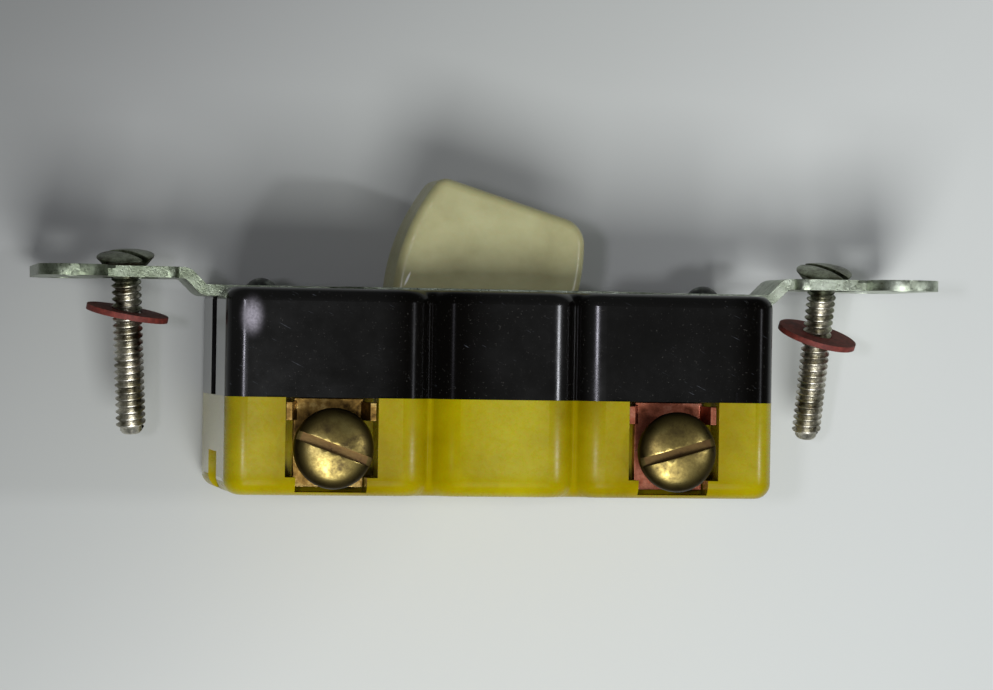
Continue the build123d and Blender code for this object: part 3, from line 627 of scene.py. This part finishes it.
def threadedShank(name, size):
    # a rolled vee thread: one pitch of it turned up the shank, faded out at both ends
    pitch, outer, root = size["pitch"], size["outerRadius"], size["rootRadius"]
    turns = int(size["threadLength"] / pitch)
    vee = [(root, 0), (root + 0.1 * (outer - root), pitch * 0.10), (outer, pitch * 0.46),
           (outer, pitch * 0.60), (root, pitch * 0.96), (root, pitch)]
    shank = turnedPiece(name, vee, size["threadSides"], pitch, turns)
    top, sunk = turns * pitch + pitch, root - size["fadeDepth"]
    for vertex in shank.data.vertices:
        height, radius = vertex.co.z / mm, vertex.co.xy.length / mm
        fade = min(1, max(0, height / pitch), max(0, (top - height) / pitch))
        fresh = sunk + (radius - sunk) * fade
        vertex.co.x *= fresh / radius
        vertex.co.y *= fresh / radius
    shank.data.transform(Matrix.Translation((0, 0, (size["threadStart"] - size["length"]) * mm)))
    return shank


def slottedScrew(name, size, top, slotTurn, headProfile, coreProfile):
    # the head is turned, slotted and eased at its edges, then joined to the core and its thread
    head = turnedPiece(name + "Head", headProfile, size["headSides"])
    cutSlot(head, 3 * size["headRadius"], size["slotWidth"], top - size["slotDepth"], top + 1,
            slotTurn)    # the saw reaches well past the head
    applyModifier(head, "BEVEL", {
        "width": size["edge"] * mm, "segments": edgeRounding["segments"],
        "limit_method": "ANGLE", "angle_limit": radians(edgeRounding["sharperThan"])})
    core = turnedPiece(name + "Core", coreProfile, size["coreSides"])
    return joinPieces([head, core, threadedShank(name + "Thread", size)], name)


# oval-head box screws, in mm and degrees, with heights from the lower edge of the head's rim. Each
# hangs askew in its ear: lean tips it across the strap and sway along it
mountingScrew = {
    "length": 21.0, "threadLength": 18.3, "threadStart": 0.15, "pitch": 0.794,
    "outerRadius": 1.74, "rootRadius": 1.30, "pointRadius": 1.05, "fadeDepth": 0.03,
    "headRadius": 3.34, "rim": 0.2, "dome": 0.5, "cone": 1.841,
    "slotWidth": 0.9, "slotDepth": 0.95, "edge": 0.07,
    "headSides": 64, "coreSides": 40, "threadSides": 32, "smoothAngle": 40,
    "seat": {"left": 1.1203, "right": 0.9502}, "slotTurn": {"left": -51.0, "right": -54.0},
    "sway": {"left": 3.85, "right": -0.4}, "lean": {"left": 13.5, "right": 18.5}}


def mountingScrewPiece(side):
    size = mountingScrew
    headR, outer, root, length = (size[key] for key in (
        "headRadius", "outerRadius", "rootRadius", "length"))
    rim, dome, cone = size["rim"], size["dome"], size["cone"]
    screw = slottedScrew(side + "MountingScrew", size, rim + dome, size["slotTurn"][side], [
        (0, -cone - 1.0), (1.4, -cone - 1.0), (1.55, -cone - 0.1), (outer, -cone + 0.05),
        (headR - 0.06, -0.03), (headR, 0.04), (headR, rim - 0.03), (headR - 0.1, rim + 0.06),
        (headR * 0.82, rim + dome * 0.42), (headR * 0.6, rim + dome * 0.7),
        (headR * 0.34, rim + dome * 0.92), (0, rim + dome)], [
        (0, -length), (size["pointRadius"], -length), (root, -length + 0.3),
        (root, -cone - 0.5), (0, -cone - 0.5)])
    tilt = (Matrix.Rotation(radians(size["sway"][side]), 4, "Z")
            @ Matrix.Rotation(radians(size["lean"][side]), 4, "X"))
    stand = (tilt @ Matrix.Translation((0, size["seat"][side] * mm, 0))
             @ Matrix.Rotation(-pi / 2, 4, "X"))
    hole = Matrix.Translation(joints[side + "_mounting_screw_spin"]["pos_m"])
    seatPiece(screw, hole @ stand, side + "_mounting_screw", side + "_mounting_screw", screwZinc,
              size["smoothAngle"])


# binding-head terminal screws, in mm and degrees, with heights from the head's flat underside
terminalScrew = {
    "length": 7.9, "threadLength": 6.6, "threadStart": 0.2, "pitch": 0.794,
    "outerRadius": 2.39, "rootRadius": 1.92, "pointRadius": 1.6, "fadeDepth": 0.03,
    "headRadius": 4.59, "height": 2.1, "slotWidth": 1.05, "slotDepth": 1.2, "edge": 0.08,
    "headSides": 72, "coreSides": 40, "threadSides": 32, "smoothAngle": 40,
    "slotTurn": {"left": -20.0, "right": 16.0}}


def terminalScrewPiece(side):
    size = terminalScrew
    headR, root, length, top = (size[key] for key in (
        "headRadius", "rootRadius", "length", "height"))
    screw = slottedScrew(side + "TerminalScrew", size, top, size["slotTurn"][side], [
        (0, -0.6), (2.0, -0.6), (2.05, 0.0), (headR - 0.15, 0.0), (headR - 0.02, 0.12),
        (headR, 0.30), (headR, 0.62), (headR - 0.06, 0.82), (headR * 0.95, 1.02),
        (headR * 0.87, 1.33), (headR * 0.75, 1.60), (headR * 0.58, 1.84), (headR * 0.38, 2.00),
        (headR * 0.18, 2.08), (0, top)], [
        (0, -length), (size["pointRadius"], -length), (root, -length + 0.35), (root, -0.3),
        (0, -0.3)])
    low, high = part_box(side + "_terminal_screw")
    place = Vector(((low[0] + high[0]) / 2, (low[1] + high[1]) / 2, low[2] + length * mm))
    seatPiece(screw, Matrix.Translation(place), side + "_terminal_screw", side + "_terminal_screw",
              agedBrass, size["smoothAngle"])


for side in ("left", "right"):
    mountingScrewPiece(side)
    terminalScrewPiece(side)
print("screws made")

# the coil in the handle, in mm from the handle's pivot
toggleSpring = {"wireRadius": 0.22, "coilRadius": 1.08, "bottom": -8.48, "height": 6.46,
                "turns": 7, "wireSides": 10, "coilSides": 32, "smoothAngle": 50}


def springPiece():
    size = toggleSpring
    wire, sides = size["wireRadius"], size["wireSides"]
    angles = [2 * pi * k / sides for k in range(sides + 1)]
    ring = [(size["coilRadius"] + wire * cos(angle), wire * sin(angle)) for angle in angles]
    spring = turnedPiece("toggleSpring", ring, size["coilSides"], size["height"] / size["turns"],
                         size["turns"])
    cleanMesh(spring, sides)
    slide, pivot = joints["plunger_slide"], Vector(joints["handle_rock"]["pos_m"])
    along = Vector(slide["axis"])
    stand = along.to_track_quat("Z", "Y").to_matrix().to_4x4()
    seatPiece(spring, Matrix.Translation(pivot + along * size["bottom"] * mm) @ stand, "handle",
              "toggle_spring", metals["springSteel"], size["smoothAngle"])
    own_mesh(spring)


springPiece()
print("spring made")

# metres, and degrees: the camera looks down on the switch lying on its side, from a little left
cameraSetup = {"place": (-0.0743, -0.00644, 0.4037), "yaw": 10.64, "roll": 0.93, "lens": 126.0,
               "nearest": 0.01}
yaw, roll = radians(cameraSetup["yaw"]), radians(cameraSetup["roll"])
level, upright = Vector((cos(yaw), 0, sin(yaw))), Vector((0, 1, 0))
rightWay = cos(roll) * level + sin(roll) * upright
upWay = cos(roll) * upright - sin(roll) * level
backWay = Vector((-sin(yaw), 0, cos(yaw)))
turn = Matrix((rightWay, upWay, backWay)).transposed().to_4x4()
camera = bpy.data.objects.new("camera", bpy.data.cameras.new("camera"))
bpy.context.collection.objects.link(camera)
camera.matrix_world = Matrix.Translation(cameraSetup["place"]) @ turn
camera.data.lens = cameraSetup["lens"]
camera.data.clip_start = cameraSetup["nearest"]
bpy.context.scene.camera = camera

# matt white paper with painted shade: greyer away to the upper left. Its tones run down to the
# lower right
tableLook = {
    "size": 4, "below": 0.00005, "shadeFall": (0.005, -0.005, 0),    # metres, metres, share per mm
    "tones": [
        (0.0, "858684"), (0.05, "858684"), (0.20, "A3A4A2"), (0.35, "B9BBB7"), (0.48, "C3C5C1"),
        (0.64, "D8DAD6"), (1.0, "DADDD9")]}
startClean()
bpy.ops.mesh.primitive_plane_add(
    size=tableLook["size"], location=(0, 0, floorHeight - tableLook["below"]))
table = bpy.context.object
table.name = "table"
paper, tree, shader, inMm = newMaterial("paper", {"Roughness": 0.85, "IOR": 1.45})
across = addNode(tree, "ShaderNodeVectorMath", {
    "operation": "DOT_PRODUCT", 1: tableLook["shadeFall"]}, {0: inMm})
centred = addNode(tree, "ShaderNodeMath", {"operation": "ADD", 1: 0.5},
                  {0: across.outputs["Value"]})
tone = addNode(tree, "ShaderNodeValToRGB", {"softStops": tableLook["tones"]},
               {"Fac": centred.outputs["Value"]})
feedShader(tree, shader, {"Base Color": tone.outputs["Color"]})
table.data.materials.append(paper)

# square lamps, in metres and watts, all aimed at the middle of the switch
lightSetup = {
    "key": {"place": (-0.02, -0.22, 0.42), "size": 0.22, "power": 1.68, "colour": "FBFDFF"},
    "leftGlint": {"place": (-0.16, 0.0, 0.46), "size": 0.03, "power": 0.25, "colour": "F2F0FF"},
    "rightGlint": {"place": (0.38, 0.0, 0.42), "size": 0.04, "power": 0.45, "colour": "F6F8FF"}}
for name, lamp in lightSetup.items():
    light = bpy.data.objects.new(name, bpy.data.lights.new(name, "AREA"))
    light.data.size = lamp["size"]
    light.data.energy = lamp["power"]
    light.data.color = hexColour(lamp["colour"])[:3]
    light.location = lamp["place"]
    light.rotation_euler = (-Vector(lamp["place"])).to_track_quat("-Z", "Y").to_euler()
    bpy.context.collection.objects.link(light)

# the room lights the switch faintly, and past the table's edge the camera sees it pale
roomLight = {"colour": "E4E9EA", "strength": 0.16, "seen": "C8CAC6"}
world = bpy.data.worlds.new("room")
bpy.context.scene.world = world
world.use_nodes = True
air = world.node_tree
ray = addNode(air, "ShaderNodeLightPath")
strength = addNode(air, "ShaderNodeMix", {
    "data_type": "FLOAT", "A": roomLight["strength"], "B": 1.0},
    {"Factor": ray.outputs["Is Camera Ray"]})
shade = addNode(air, "ShaderNodeMix", {
    "data_type": "RGBA", "A": hexColour(roomLight["colour"]), "B": hexColour(roomLight["seen"])},
    {"Factor": ray.outputs["Is Camera Ray"]})
feedShader(air, air.nodes["Background"], {
    "Strength": strength.outputs[0], "Color": shade.outputs["Result"]})
bpy.context.scene.view_settings.view_transform = "Standard"
print("camera, table and light set")
